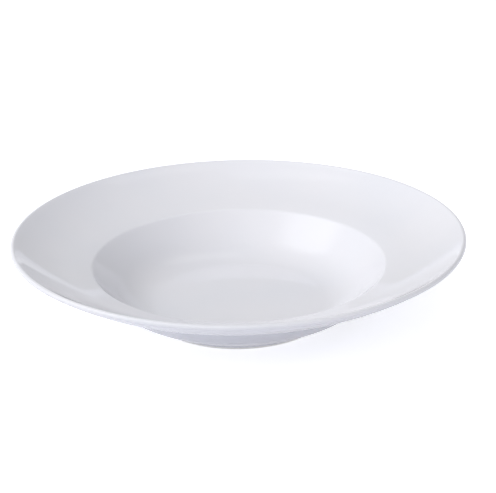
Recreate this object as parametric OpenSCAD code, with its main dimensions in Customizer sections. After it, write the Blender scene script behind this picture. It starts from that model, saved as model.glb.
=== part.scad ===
// Wide-rim pasta bowl in white glazed porcelain.
// The fired clay body carries two skins of glaze: a coat that runs from the foot up
// the outside, over the lip and down into the well, and a disc inside the foot ring.
// The foot between them is bare clay. All three are turned about the Z axis, and
// Z = 0 is the table that the foot stands on.

/* [Bowl] */
// Diameter over the glazed lip
rim_d = 300; // [260:1:340]
// Height of the lip above the table
bowl_h = 59; // [52:0.5:66]

/* [Rim] */
// Drop from the top of the lip to the edge of the well
rim_drop = 21.8; // [17:0.1:24]
// Diameter of the edge between the rim and the well
well_d = 196; // [175:1:215]
// Radius that eases the edge of the well
well_edge_r = 5; // [1:0.5:7]
// Angle by which the rim sets off from the well below the straight line to the lip
rim_dip = 5.8; // [3:0.1:8]
// Radius of the hollow curve that lifts the rim to the lip
rim_arc_r = 110; // [80:1:160]
// Radius of the rounded lip, half its thickness
lip_r = 1.7; // [1.2:0.1:2.2]
// Radius of the curved underside of the rim
rim_under_r = 150; // [120:1:240]
// Thickness of the rim where it leaves the wall, straight down from the edge of the well
rim_root_t = 6; // [5:0.1:9]

/* [Well] */
// Diameter of the flat floor
floor_d = 113; // [100:1:118]
// Radius of the hollow between the floor and the straight wall
cove_r = 35; // [20:1:38]
// Height of the glazed floor above the table
floor_h = 9; // [7:0.1:12]
// Depth of the wall's round outside, at its lowest, under the floor
wall_t = 5; // [4:0.1:6]
// Radius of that outside
belly_r = 63.4; // [58:0.1:72]
// Diameter at which that outside is lowest
belly_d = 96; // [88:1:106]
// Radius of the hollow where the wall turns out under the rim
knuckle_r = 12; // [4:0.5:20]

/* [Foot] */
// Diameter of the foot ring's outer face
foot_d = 120.5; // [110:0.5:132]
// Width of the foot ring from its outer face to its inner face
foot_w = 6; // [4:0.1:9]
// Radius of the hollow between the wall and the foot ring
foot_fillet_r = 1.5; // [0.5:0.1:3]
// Radius that eases the two bottom edges of the foot ring
foot_ease_r = 1; // [0.5:0.1:1.4]
// Height of the glazed ceiling inside the foot ring above the table
recess_h = 3.6; // [3:0.1:4.5]
// Radius of the hollow between that ceiling and the foot ring
recess_fillet_r = 1.2; // [0.5:0.1:2]

/* [Glaze] */
// Thickness of the glaze
glaze_t = 0.3; // [0.15:0.05:0.5]
// Height of the bare clay at the foot, up to where the glaze ends
bare_h = 1.5; // [1.1:0.1:2.3]

/* [Hidden] */
// Angle that each step of an arc turns through, in degrees
arc_step = 3;
$fn = 180;

clay_colour = [0.93, 0.92, 0.89];
glaze_colour = [0.94, 0.94, 0.96];

rim_r = rim_d / 2;
well_r = well_d / 2;
floor_r = floor_d / 2;
foot_r = foot_d / 2;
foot_in_r = foot_r - foot_w;

// Sharp edge where the rim meets the wall of the well
well_edge = [well_r, bowl_h - rim_drop];

// The floor turns up in a hollow arc, and a straight wall leaves that arc for the edge.
// In a narrow well the arc is smaller, so that the wall keeps room for its eased edge
wall_w = well_r - floor_r;
wall_h = well_edge[1] - floor_h;
cove_fit_r = min(cove_r, (wall_w * wall_w + wall_h * wall_h - well_edge_r * well_edge_r)
                         / (2 * wall_h));
cove_c = [floor_r, floor_h + cove_fit_r];
wall_slope = direction(well_edge - cove_c) + asin(cove_fit_r / norm(well_edge - cove_c));

// The outside of the wall is one round arc
belly_c = [belly_d / 2, floor_h - wall_t + belly_r];

// The rim leaves that edge as a cone, a little below the line to the lip,
// and a hollow arc lifts it into the top of the round lip
lip_c = [rim_r - lip_r, bowl_h - lip_r];
rim_slope = direction(lip_c - well_edge) - rim_dip;
rim_c = beside_line(well_edge, rim_slope, rim_arc_r, lip_c, rim_arc_r + lip_r, -1);
rim_end = direction(lip_c - rim_c);

// Its underside is an arc from below the edge of the well into the bottom of the lip
rim_root = well_edge - [0, rim_root_t];
under_c = meet(rim_root, rim_under_r, lip_c, rim_under_r - lip_r, 1);
under_start = direction(lip_c - under_c);

// Centres of the eased edge of the well, the hollow under the rim and the hollow at the foot
well_edge_c = well_edge + well_edge_r / (1 + cos(wall_slope - rim_slope))
              * (below(wall_slope) + below(rim_slope));
knuckle_c = meet(belly_c, belly_r + knuckle_r, under_c, rim_under_r + knuckle_r, -1);
foot_fillet_c = [foot_r + foot_fillet_r,
                 belly_c[1] - leg(belly_r + foot_fillet_r, foot_r + foot_fillet_r - belly_c[0])];

// Angles at which the underside and the belly hand over to those arcs
under_end = direction(knuckle_c - under_c);
belly_start = direction(knuckle_c - belly_c);
belly_end = direction(foot_fillet_c - belly_c);

// Unit vector square to a slope, on its lower side
function below(slope) = [sin(slope), -cos(slope)];

// Angle of a vector in the section
function direction(v) = atan2(v[1], v[0]);

// Other leg of a right triangle
function leg(long_side, short_side) = sqrt(long_side * long_side - short_side * short_side);

// Point at a height over the line of that slope through p, and at a distance from the point c,
// on its outer side (side = 1) or its inner side (side = -1)
function beside_line(p, slope, height, c, distance, side) =
    let (start = p - height * below(slope),
         along = [cos(slope), sin(slope)],
         shift = (start - c) * along,
         gap = start - c - shift * along)
    start + (side * leg(distance, norm(gap)) - shift) * along;

// Point at the distances ra from a and rb from b, on the left of the way from a to b (side = 1)
// or on its right (side = -1)
function meet(a, ra, b, rb, side) =
    let (span = norm(b - a),
         along = (b - a) / span,
         reach = (span * span + ra * ra - rb * rb) / (2 * span))
    a + reach * along + side * leg(ra, reach) * [-along[1], along[0]];

// Points along an arc about c, from one angle to another
function arc(c, r, from, to, first = 0) =
    let (steps = max(2, ceil(abs(to - from) / arc_step)))
    [for (i = [first : steps]) let (a = from + (to - from) * i / steps) c + r * [cos(a), sin(a)]];

// The same without its first point, for an arc that carries on from the one before
function onward(c, r, from, to) = arc(c, r, from, to, 1);

function reversed(points) = [for (i = [len(points) - 1 : -1 : 0]) points[i]];

// Section of the coated side, a depth g under the glazed surface:
// floor, cove, wall, rim, lip, rim's underside, belly, and foot ring down to the bare clay
function coated_side(g) = concat(
    [[0, floor_h - g]],
    arc(cove_c, cove_fit_r + g, -90, wall_slope - 90),
    arc(well_edge_c, well_edge_r - g, wall_slope + 90, rim_slope + 90),
    arc(rim_c, rim_arc_r + g, rim_slope - 90, rim_end),
    onward(lip_c, lip_r - g, rim_end + 180, under_start),
    onward(under_c, rim_under_r - g, under_start, under_end),
    onward(knuckle_c, knuckle_r + g, under_end + 180, belly_start + 180),
    onward(belly_c, belly_r - g, belly_start, belly_end),
    onward(foot_fillet_c, foot_fillet_r + g, belly_end + 180, 180),
    [[foot_r - g, bare_h]]);

// Section of the hollow inside the foot ring, a depth g under its glazed surface
function recess_side(g) = concat(
    [[0, recess_h + g]],
    arc([foot_in_r - recess_fillet_r, recess_h - recess_fillet_r], recess_fillet_r + g, 90, 0),
    [[foot_in_r + g, bare_h]]);

// Section of the bare foot, from its outer face round to its inner face
function bare_foot() = concat(
    arc([foot_r - glaze_t - foot_ease_r, foot_ease_r], foot_ease_r, 0, -90),
    arc([foot_in_r + glaze_t + foot_ease_r, foot_ease_r], foot_ease_r, -90, -180));

module porcelain_body() {
    color(clay_colour)
        rotate_extrude()
            polygon(concat(coated_side(glaze_t), bare_foot(), reversed(recess_side(glaze_t))));
}

module glaze_coat() {
    color(glaze_colour)
        rotate_extrude()
            polygon(concat(coated_side(0), reversed(coated_side(glaze_t))));
}

module base_glaze() {
    color(glaze_colour)
        rotate_extrude()
            polygon(concat(recess_side(0), reversed(recess_side(glaze_t))));
}

porcelain_body();
glaze_coat();
base_glaze();
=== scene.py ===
# %% [markdown]
# # A wide-rim pasta bowl, turned and glazed
#
# This lesson dresses a packed bowl for a photograph. The bowl is porcelain that was
# shaped on a turning head, dipped in glaze and fired standing on its bare foot, so all
# of it can be made the way the potter made it: draw half of a section, turn it about
# the axis, and coat it.
#
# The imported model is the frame. It fixes the size and the place of each piece, in
# metres, with the foot standing on Z = 0 and the axis of the bowl on Z.

# %% Load the frame
import math

import bmesh
import bpy
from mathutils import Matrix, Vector
from mathutils.geometry import intersect_line_sphere_2d, intersect_sphere_sphere_2d


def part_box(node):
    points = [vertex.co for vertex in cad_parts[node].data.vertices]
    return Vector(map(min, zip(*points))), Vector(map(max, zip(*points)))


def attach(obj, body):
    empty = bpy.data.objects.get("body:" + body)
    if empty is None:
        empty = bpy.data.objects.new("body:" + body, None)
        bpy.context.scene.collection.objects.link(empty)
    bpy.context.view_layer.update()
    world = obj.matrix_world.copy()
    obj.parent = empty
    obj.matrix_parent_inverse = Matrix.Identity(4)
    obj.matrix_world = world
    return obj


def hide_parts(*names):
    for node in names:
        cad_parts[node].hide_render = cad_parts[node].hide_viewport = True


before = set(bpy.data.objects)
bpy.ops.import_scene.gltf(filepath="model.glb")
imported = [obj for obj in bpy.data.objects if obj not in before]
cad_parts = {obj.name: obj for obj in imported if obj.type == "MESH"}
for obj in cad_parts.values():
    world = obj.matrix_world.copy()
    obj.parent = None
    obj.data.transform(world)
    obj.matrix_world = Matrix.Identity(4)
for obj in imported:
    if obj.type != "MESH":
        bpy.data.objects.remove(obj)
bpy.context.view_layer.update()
mm = 0.001
print("nodes:", sorted(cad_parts))

# %% [markdown]
# ## The sizes of the section
#
# A turned piece is known by its half section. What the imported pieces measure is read
# off them: how wide and high the bowl is, where its glaze ends above the foot, and how
# thick the glaze is. The rest are the radii that the potter's template would carry.

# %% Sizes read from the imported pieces
coat_low, coat_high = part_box("glaze_coat")
body_low, body_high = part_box("porcelain_body")
base_low, base_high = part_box("base_glaze")

rim_r = coat_high[0]
bowl_h = coat_high[2]
bare_h = coat_low[2]
glaze_t = coat_high[2] - body_high[2]
recess_h = base_high[2] - glaze_t
print(f"bowl {2000 * rim_r:.1f} mm wide, {1000 * bowl_h:.1f} mm high, glaze {1000 * glaze_t:.2f} mm")

# %% Sizes of the template
well_r = 98 * mm
rim_drop = 21.8 * mm
well_edge_r = 5 * mm
rim_dip = math.radians(5.8)
rim_arc_r = 110 * mm
lip_r = 1.7 * mm
rim_under_r = 150 * mm
rim_root_t = 6 * mm

floor_r = 56.5 * mm
floor_h = 9 * mm
cove_r = 35 * mm
wall_t = 5 * mm
belly_r = 63.4 * mm
belly_low_r = 48 * mm
knuckle_r = 12 * mm

foot_r = 60.25 * mm
foot_w = 6 * mm
foot_fillet_r = 1.5 * mm
foot_ease_r = 1 * mm
recess_fillet_r = 1.2 * mm
print(f"well {2000 * well_r:.0f} mm wide, floor {2000 * floor_r:.0f} mm, foot {2000 * foot_r:.1f} mm")

# %% [markdown]
# ## Where the arcs have their centres
#
# Every curve of the section is an arc that touches the next one. Two arcs that touch
# have their centres apart by the sum of their radii, or by the difference if one lies
# inside the other. So each centre is where two circles cross, or a line and a circle,
# and Blender's geometry module finds those.
#
# The rim leaves the well as a cone that aims a little under the lip, and a long hollow
# arc lifts it there. That curve shows in the photograph: the far lip is mirrored on the
# near rim, and the mirror image bends.

# %% Centres of the arcs, in the plane of the section
well_edge = Vector((well_r, bowl_h - rim_drop))
lip_c = Vector((rim_r - lip_r, bowl_h - lip_r))

to_lip = lip_c - well_edge
rim_slope = math.atan2(to_lip.y, to_lip.x) - rim_dip
along_rim = Vector((math.cos(rim_slope), math.sin(rim_slope)))
above_rim = Vector((-along_rim.y, along_rim.x))

cove_c = Vector((floor_r, floor_h + cove_r))
to_edge = well_edge - cove_c
wall_slope = math.atan2(to_edge.y, to_edge.x) + math.asin(cove_r / to_edge.length)
above_wall = Vector((-math.sin(wall_slope), math.cos(wall_slope)))
well_edge_c = well_edge - (well_edge_r / (1 + math.cos(wall_slope - rim_slope))
                           * (above_wall + above_rim))

belly_c = Vector((belly_low_r, floor_h - wall_t + belly_r))

above_edge = well_edge + rim_arc_r * above_rim
rim_c = min(intersect_line_sphere_2d(above_edge, above_edge + along_rim, lip_c,
                                     rim_arc_r + lip_r, False),
            key=lambda p: p.x)
rim_root = well_edge - Vector((0, rim_root_t))
under_c = max(intersect_sphere_sphere_2d(rim_root, rim_under_r, lip_c, rim_under_r - lip_r),
              key=lambda p: p.y)
knuckle_c = min(intersect_sphere_sphere_2d(belly_c, belly_r + knuckle_r,
                                           under_c, rim_under_r + knuckle_r),
                key=lambda p: p.y)

beside_foot = Vector((foot_r + foot_fillet_r, 0))
foot_fillet_c = min(intersect_line_sphere_2d(beside_foot, beside_foot + Vector((0, 1)), belly_c,
                                             belly_r + foot_fillet_r, False),
                    key=lambda p: p.y)
print(f"the wall of the well stands at {math.degrees(wall_slope):.1f} degrees")
print(f"the rim leaves it at {math.degrees(rim_slope):.1f} degrees")

# %% [markdown]
# ## Walking round the section
#
# A template can be walked: so far straight on, then round this centre by that angle.
# Started a little deeper in the clay, the same walk gives the surface under the glaze,
# because arcs about one centre stay the same distance apart. In bmesh, a straight step
# is a vertex that is extruded and moved, and a round one is a vertex that is spun about
# the centre.

# %% The steps of a walk
arc_step = math.radians(2.25)
least_step = 0.35 * mm


def straight(bm, vert, x, z):
    """Draws a line from a vertex, by a distance out and a distance up."""
    new = bmesh.ops.extrude_vert_indiv(bm, verts=[vert])["verts"][0]
    bmesh.ops.translate(bm, verts=[new], vec=(x, 0, z))
    return new


def turn(bm, vert, centre, angle):
    """Draws an arc from a vertex about a centre, anticlockwise for a positive angle."""
    middle = Vector((centre.x, 0, centre.y))
    length = abs(angle) * (vert.co - middle).length
    steps = math.ceil(min(abs(angle) / arc_step, length / least_step))
    swept = bmesh.ops.spin(bm, geom=[vert], cent=middle, axis=(0, -1, 0), angle=angle,
                           steps=max(4, steps))
    return [v for v in swept["geom_last"] if isinstance(v, bmesh.types.BMVert)][0]


def heading(start, end):
    """Angle of the way from one point to another."""
    return math.atan2(end.y - start.y, end.x - start.x)


# %% The angles of the walk
quarter = math.radians(90)
half = math.radians(180)

rim_end = heading(rim_c, lip_c)
under_start = heading(under_c, lip_c)
under_end = heading(under_c, knuckle_c)
belly_start = heading(belly_c, knuckle_c)
belly_end = heading(belly_c, foot_fillet_c)

wall = (well_edge_c + well_edge_r * above_wall) - (cove_c - cove_r * above_wall)
cone = (rim_c - rim_arc_r * above_rim) - (well_edge_c + well_edge_r * above_rim)
print(f"the straight part of the wall is {1000 * wall.length:.1f} mm high along its slope")
print(f"the cone part of the rim is {1000 * cone.length:.1f} mm wide")


# %% The glazed side, from the middle of the floor over the lip to the foot
def walk_coated_side(bm, depth):
    """Walks from the axis to the end of the glaze, at a depth under the glazed surface."""
    vert = bm.verts.new((0, 0, floor_h - depth))
    vert = straight(bm, vert, floor_r, 0)
    vert = turn(bm, vert, cove_c, wall_slope)
    vert = straight(bm, vert, wall.x, wall.y)
    vert = turn(bm, vert, well_edge_c, rim_slope - wall_slope)
    vert = straight(bm, vert, cone.x, cone.y)
    vert = turn(bm, vert, rim_c, rim_end + quarter - rim_slope)
    vert = turn(bm, vert, lip_c, under_start - rim_end - half)
    vert = turn(bm, vert, under_c, under_end - under_start)
    vert = turn(bm, vert, knuckle_c, belly_start - under_end)
    vert = turn(bm, vert, belly_c, belly_end - belly_start)
    vert = turn(bm, vert, foot_fillet_c, -belly_end)
    return straight(bm, vert, 0, bare_h - vert.co.z)


# %% The bare foot, then the hollow inside it, back to the axis
foot_in_r = foot_r - foot_w
ease_out_c = Vector((foot_r - glaze_t - foot_ease_r, foot_ease_r))
ease_in_c = Vector((foot_in_r + glaze_t + foot_ease_r, foot_ease_r))
recess_c = Vector((foot_in_r - recess_fillet_r, recess_h - recess_fillet_r))


def walk_bare_foot(bm, vert):
    """Walks on from the end of the glaze, down under the foot and up its inner face."""
    vert = straight(bm, vert, 0, foot_ease_r - bare_h)
    vert = turn(bm, vert, ease_out_c, -quarter)
    vert = straight(bm, vert, ease_in_c.x - ease_out_c.x, 0)
    vert = turn(bm, vert, ease_in_c, -quarter)
    return straight(bm, vert, 0, bare_h - foot_ease_r)


def walk_recess(bm, vert):
    """Walks on up the inner face of the foot and along the ceiling of the hollow to the axis."""
    vert = straight(bm, vert, 0, recess_c.y - bare_h)
    vert = turn(bm, vert, recess_c, quarter)
    return straight(bm, vert, -vert.co.x, 0)


# %% [markdown]
# ## Turning
#
# A full spin about Z makes the section a body. Spinning leaves a double vertex wherever
# the section starts on the axis, so those are merged, and then the normals are made to
# point out. A skin of glaze is one surface at that point, and solidify gives it its
# thickness.

# %% Turn a section about the axis
turn_steps = 360
merge_gap = 0.001 * mm


def turned(bm):
    """Turns a section all the way round the axis and closes the seam."""
    bmesh.ops.spin(bm, geom=bm.verts[:] + bm.edges[:], cent=(0, 0, 0), axis=(0, 0, 1),
                   angle=2 * half, steps=turn_steps, use_merge=True)
    bmesh.ops.remove_doubles(bm, verts=bm.verts, dist=merge_gap)
    bmesh.ops.recalc_face_normals(bm, faces=bm.faces)


def as_piece(bm, name, node):
    """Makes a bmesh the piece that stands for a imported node."""
    mesh = bpy.data.meshes.new(name)
    bm.to_mesh(mesh)
    bm.free()
    mesh.shade_smooth()
    piece = bpy.data.objects.new(name, mesh)
    bpy.context.scene.collection.objects.link(piece)
    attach(piece, "root")
    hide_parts(node)
    print(name, len(mesh.polygons), "faces")
    return piece


# %% The clay body
bm = bmesh.new()
vert = walk_coated_side(bm, glaze_t)
vert = walk_bare_foot(bm, vert)
walk_recess(bm, vert)
turned(bm)
clay_body = as_piece(bm, "clay_body", "porcelain_body")

# %% The coat of glaze over the well, the rim and the outside
bm = bmesh.new()
walk_coated_side(bm, 0)
turned(bm)
bmesh.ops.solidify(bm, geom=bm.faces[:], thickness=glaze_t)
bowl_glaze = as_piece(bm, "bowl_glaze", "glaze_coat")

# %% The glaze inside the foot ring
bm = bmesh.new()
vert = bm.verts.new((foot_in_r, 0, bare_h))
walk_recess(bm, vert)
turned(bm)
bmesh.ops.solidify(bm, geom=bm.faces[:], thickness=glaze_t)
foot_glaze = as_piece(bm, "foot_glaze", "base_glaze")

# %% [markdown]
# ## Finishes
#
# Colours are written the way a colour picker shows them, and one function makes them
# linear. One small function adds a node with its settings and its links.


# %% Helpers for materials
def linear(hex_colour):
    """sRGB hex such as "EEEEEE" as linear RGBA."""
    parts = [int(hex_colour[i:i + 2], 16) / 255 for i in (0, 2, 4)]
    return [c / 12.92 if c <= 0.04045 else ((c + 0.055) / 1.055) ** 2.4 for c in parts] + [1]


def add(tree, kind, settings=None, **links):
    """Adds a node. Settings are inputs by name or number, or properties of the node.
    Links name an input, or in_0, in_1 for inputs by number."""
    node = tree.nodes.new(kind)
    for name, value in (settings or {}).items():
        if isinstance(name, int) or name in node.inputs:
            node.inputs[name].default_value = value
        else:
            setattr(node, name, value)
    for name, socket in links.items():
        key = int(name[3:]) if name.startswith("in_") else name.replace("_", " ")
        tree.links.new(socket, node.inputs[key])
    return node


def new_material(name):
    """A material with its node tree and its surface shader."""
    material = bpy.data.materials.new(name)
    material.use_nodes = True
    tree = material.node_tree
    return material, tree, tree.nodes["Principled BSDF"]


# %% [markdown]
# ### Clear glaze over white porcelain
#
# The glaze is a thin glass that melted over a white body. It levels out as it melts, so
# it mirrors the room sharply, but it keeps faint waves as wide as a finger from the
# turning and the dipping, and those bend the mirrored edges a little. Its white varies
# as faintly, a touch bluer where the coat lies thicker.

# %% Glaze
glaze, tree, surface = new_material("clear glaze over white porcelain")
wave_size = 38 * mm
wave_depth = 0.03 * mm
tone_size = 70 * mm
tone_from, tone_to = 0.35, 0.65

place = add(tree, "ShaderNodeTexCoord")
tone = add(tree, "ShaderNodeTexNoise", {"Scale": 1 / tone_size, "Detail": 2},
           Vector=place.outputs["Object"])
white = add(tree, "ShaderNodeValToRGB", in_0=tone.outputs["Fac"])
white.color_ramp.elements[0].position = tone_from
white.color_ramp.elements[0].color = linear("E8E9F0")
white.color_ramp.elements[1].position = tone_to
white.color_ramp.elements[1].color = linear("EBEBF1")
tree.links.new(white.outputs["Color"], surface.inputs["Base Color"])

waves = add(tree, "ShaderNodeTexNoise", {"Scale": 1 / wave_size, "Detail": 0},
            Vector=place.outputs["Object"])
level = add(tree, "ShaderNodeBump", {"Strength": 1, "Distance": wave_depth},
            Height=waves.outputs["Fac"])
tree.links.new(level.outputs["Normal"], surface.inputs["Normal"])

surface.inputs["Roughness"].default_value = 0.05
surface.inputs["IOR"].default_value = 1.52

for piece in (bowl_glaze, foot_glaze):
    piece.data.materials.append(glaze)
print(f"{glaze.name}: waves of {1000 * wave_size:.0f} mm, {1e6 * wave_depth:.0f} micrometres deep")

# %% [markdown]
# ### Bare fired porcelain
#
# The foot is wiped clean of glaze so that the bowl doesn't stick to the kiln shelf. What
# is left is fired clay: matt, a little warmer than the glaze, with a fine grain, and
# rubbed a shade greyer where it slides on tables.

# %% Bare clay
biscuit, tree, surface = new_material("bare fired porcelain")
# The real grain is about a tenth of this, too fine to show at this distance
grain_size = 0.7 * mm
grain_depth = 0.05 * mm
rubbed_h = 0.8 * mm

place = add(tree, "ShaderNodeTexCoord")
height = add(tree, "ShaderNodeSeparateXYZ", in_0=place.outputs["Object"])
rubbed = add(tree, "ShaderNodeMapRange", {"From Max": rubbed_h}, Value=height.outputs["Z"])
grain = add(tree, "ShaderNodeTexNoise", {"Scale": 1 / grain_size, "Detail": 3},
            Vector=place.outputs["Object"])
worn = add(tree, "ShaderNodeMath", {"operation": "MULTIPLY_ADD", "use_clamp": True},
           in_0=grain.outputs["Fac"], in_1=rubbed.outputs["Result"], in_2=rubbed.outputs["Result"])
clay = add(tree, "ShaderNodeValToRGB", in_0=worn.outputs["Value"])
clay.color_ramp.elements[0].color = linear("ECEAE6")
clay.color_ramp.elements[1].color = linear("F5F4F1")
tree.links.new(clay.outputs["Color"], surface.inputs["Base Color"])
tooth = add(tree, "ShaderNodeBump", {"Strength": 0.6, "Distance": grain_depth},
            Height=grain.outputs["Fac"])
tree.links.new(tooth.outputs["Normal"], surface.inputs["Normal"])
surface.inputs["Roughness"].default_value = 0.8
clay_body.data.materials.append(biscuit)
print(f"{biscuit.name}: rubbed up to {1000 * rubbed_h:.1f} mm above the table")

# %% [markdown]
# ## The table and the sweep
#
# The photograph has a white ground that runs up into a white wall. Both are one turned
# sheet here, so the bowl is in the same room from every side.
#
# The paper is matt. A glow that only the camera sees makes it white to the eye, while
# the bowl's shadow still shows. The glaze sees a weaker glow, which fades with height
# up the wall to the grey of the room.

# %% Sweep
sweep_r = 2.6
sweep_curve_r = 0.4
sweep_h = 0.45
white_h = 0.1

bm = bmesh.new()
vert = bm.verts.new((0, 0, 0))
vert = straight(bm, vert, sweep_r - sweep_curve_r, 0)
vert = turn(bm, vert, Vector((sweep_r - sweep_curve_r, sweep_curve_r)), quarter)
straight(bm, vert, 0, sweep_h - sweep_curve_r)
turned(bm)
mesh = bpy.data.meshes.new("sweep")
bm.to_mesh(mesh)
bm.free()
mesh.shade_smooth()
sweep = bpy.data.objects.new("sweep", mesh)
bpy.context.scene.collection.objects.link(sweep)
print("sweep", len(mesh.polygons), "faces")

# %% Paper of the sweep
paper = bpy.data.materials.new("white paper")
paper.use_nodes = True
tree = paper.node_tree
tree.nodes.clear()
seen_glow = 0.6
mirrored_glow = 0.36
wall_glow = 0.02

ray = add(tree, "ShaderNodeLightPath")
mirrored = add(tree, "ShaderNodeMath", {"operation": "ADD"},
               in_0=ray.outputs["Is Glossy Ray"], in_1=ray.outputs["Is Transmission Ray"])
place = add(tree, "ShaderNodeTexCoord")
height = add(tree, "ShaderNodeSeparateXYZ", in_0=place.outputs["Object"])
fade = add(tree, "ShaderNodeMapRange", {"From Min": white_h, "From Max": sweep_h,
                                        "To Min": mirrored_glow, "To Max": wall_glow},
           Value=height.outputs["Z"])
dimmer = add(tree, "ShaderNodeMath", {"operation": "MULTIPLY"},
             in_0=fade.outputs["Result"], in_1=mirrored.outputs["Value"])
glow = add(tree, "ShaderNodeMath", {"operation": "MULTIPLY_ADD", 1: seen_glow},
           in_0=ray.outputs["Is Camera Ray"], in_2=dimmer.outputs["Value"])
matt = add(tree, "ShaderNodeBsdfDiffuse", {"Color": linear("EBECF2")})
lit = add(tree, "ShaderNodeEmission", Strength=glow.outputs["Value"])
both = add(tree, "ShaderNodeAddShader", in_0=matt.outputs["BSDF"], in_1=lit.outputs["Emission"])
add(tree, "ShaderNodeOutputMaterial", Surface=both.outputs["Shader"])
sweep.data.materials.append(paper)

# %% [markdown]
# ## Light
#
# The glaze shows how the bowl was lit, because it mirrors the room: no hard edges, bright
# on the left and dim on the right, as inside a tent of white cloth with a lamp outside it.
# So the room itself is a gradient, from low on the left front to high on the right back,
# which the camera sees as white. The lamp's glow on the cloth is a round softbox that
# fades to its rim, and it shows as the white patch in the back of the well. A small panel
# overhead shows as the pale bar below that patch and along the back of the rim.
#
# In the photograph the belly grows brighter towards the foot, so the table was bright
# right up to it. A weak disc of light on the table does that, where the bowl's own shadow
# would leave a dark line.

# %% Room
room_dim = 0.27
room_bright = 1.77
bright_side = (-0.75, -0.5, -0.43)

world = bpy.data.worlds.new("tent")
bpy.context.scene.world = world
world.use_nodes = True
tree = world.node_tree
place = add(tree, "ShaderNodeTexCoord")
facing = add(tree, "ShaderNodeVectorMath", {"operation": "DOT_PRODUCT", 1: bright_side},
             in_0=place.outputs["Generated"])
cloth = add(tree, "ShaderNodeMapRange", {"From Min": -1, "To Min": room_dim, "To Max": room_bright},
            Value=facing.outputs["Value"])
ray = add(tree, "ShaderNodeLightPath")
seen = add(tree, "ShaderNodeMix", {"B": 1}, Factor=ray.outputs["Is Camera Ray"],
           A=cloth.outputs["Result"])
tree.links.new(seen.outputs["Result"], tree.nodes["Background"].inputs["Strength"])
tree.nodes["Background"].inputs["Color"].default_value = linear("FFFFFF")
print(f"the room's light runs from {room_dim} to {room_bright}")


# %% Lamps
def softbox(name, place, aim, width, height, power, shape="RECTANGLE"):
    """A flat lamp at a place, facing a point."""
    lamp = bpy.data.lights.new(name, "AREA")
    lamp.shape = shape
    lamp.size = width
    lamp.size_y = height
    lamp.energy = power
    lamp_object = bpy.data.objects.new(name, lamp)
    bpy.context.scene.collection.objects.link(lamp_object)
    lamp_object.location = place
    lamp_object.rotation_euler = (Vector(place) - Vector(aim)).to_track_quat("Z", "Y").to_euler()
    lamp_object.visible_camera = False
    print(f"{name}: {power} W")
    return lamp_object


softbox("overhead panel", place=(0.042, 0.152, 0.25), aim=(0.042, 0.152, 0), width=0.085,
        height=0.08, power=0.011)

# %% The light that the white table sends up to the foot
table_glow_w = 0.14
over_table = 0.2 * mm
table_glow = softbox("table glow", place=(0, 0, over_table), aim=(0, 0, 1), width=table_glow_w,
                     height=table_glow_w, power=0.01, shape="DISK")
table_glow.visible_glossy = False

# %% The glow on the tent's left side: a round lamp that fades from its core to its rim
glow_core = 0.6
glow_w = 1.1
left_glow = softbox("left glow", place=(-0.77, -0.04, 0.855), aim=(0, 0, 0), width=glow_w,
                    height=glow_w, power=4, shape="DISK")
left_glow.data.use_nodes = True
tree = left_glow.data.node_tree
place = add(tree, "ShaderNodeTexCoord")
centred = add(tree, "ShaderNodeMapping", {"Location": (-1, -1, 0), "Scale": (2, 2, 1)},
              Vector=place.outputs["UV"])
ball = add(tree, "ShaderNodeTexGradient", {"gradient_type": "SPHERICAL"},
           Vector=centred.outputs["Vector"])
fade = add(tree, "ShaderNodeMapRange", {"interpolation_type": "SMOOTHSTEP", "From Max": glow_core},
           Value=ball.outputs["Fac"])
tree.links.new(fade.outputs["Result"], tree.nodes["Emission"].inputs["Strength"])

# %% [markdown]
# ## Camera
#
# The camera's place was fitted to the ellipses of the lip, the well and the foot in the
# photograph. It stands a little over 90 cm away, 22 degrees above the table, and is
# turned by one degree about its own axis.

# %% Camera
image_width = 496
focal_pixels = 1346.6
camera_place = Vector((0, -0.8351, 0.3826))
camera_aim = Vector((0.00623, 0, 0.04694))
camera_roll = math.radians(-0.99)

lens = bpy.data.cameras.new("camera")
lens.sensor_fit = "HORIZONTAL"
lens.sensor_width = 36
lens.lens = lens.sensor_width * focal_pixels / image_width
camera = bpy.data.objects.new("camera", lens)
bpy.context.scene.collection.objects.link(camera)
camera.location = camera_place
camera.rotation_euler = (camera_aim - camera_place).to_track_quat("-Z", "Y").to_euler()
camera.rotation_euler.rotate_axis("Z", camera_roll)
bpy.context.scene.camera = camera
bpy.context.scene.view_settings.view_transform = "Standard"
print(f"lens {lens.lens:.1f} mm")
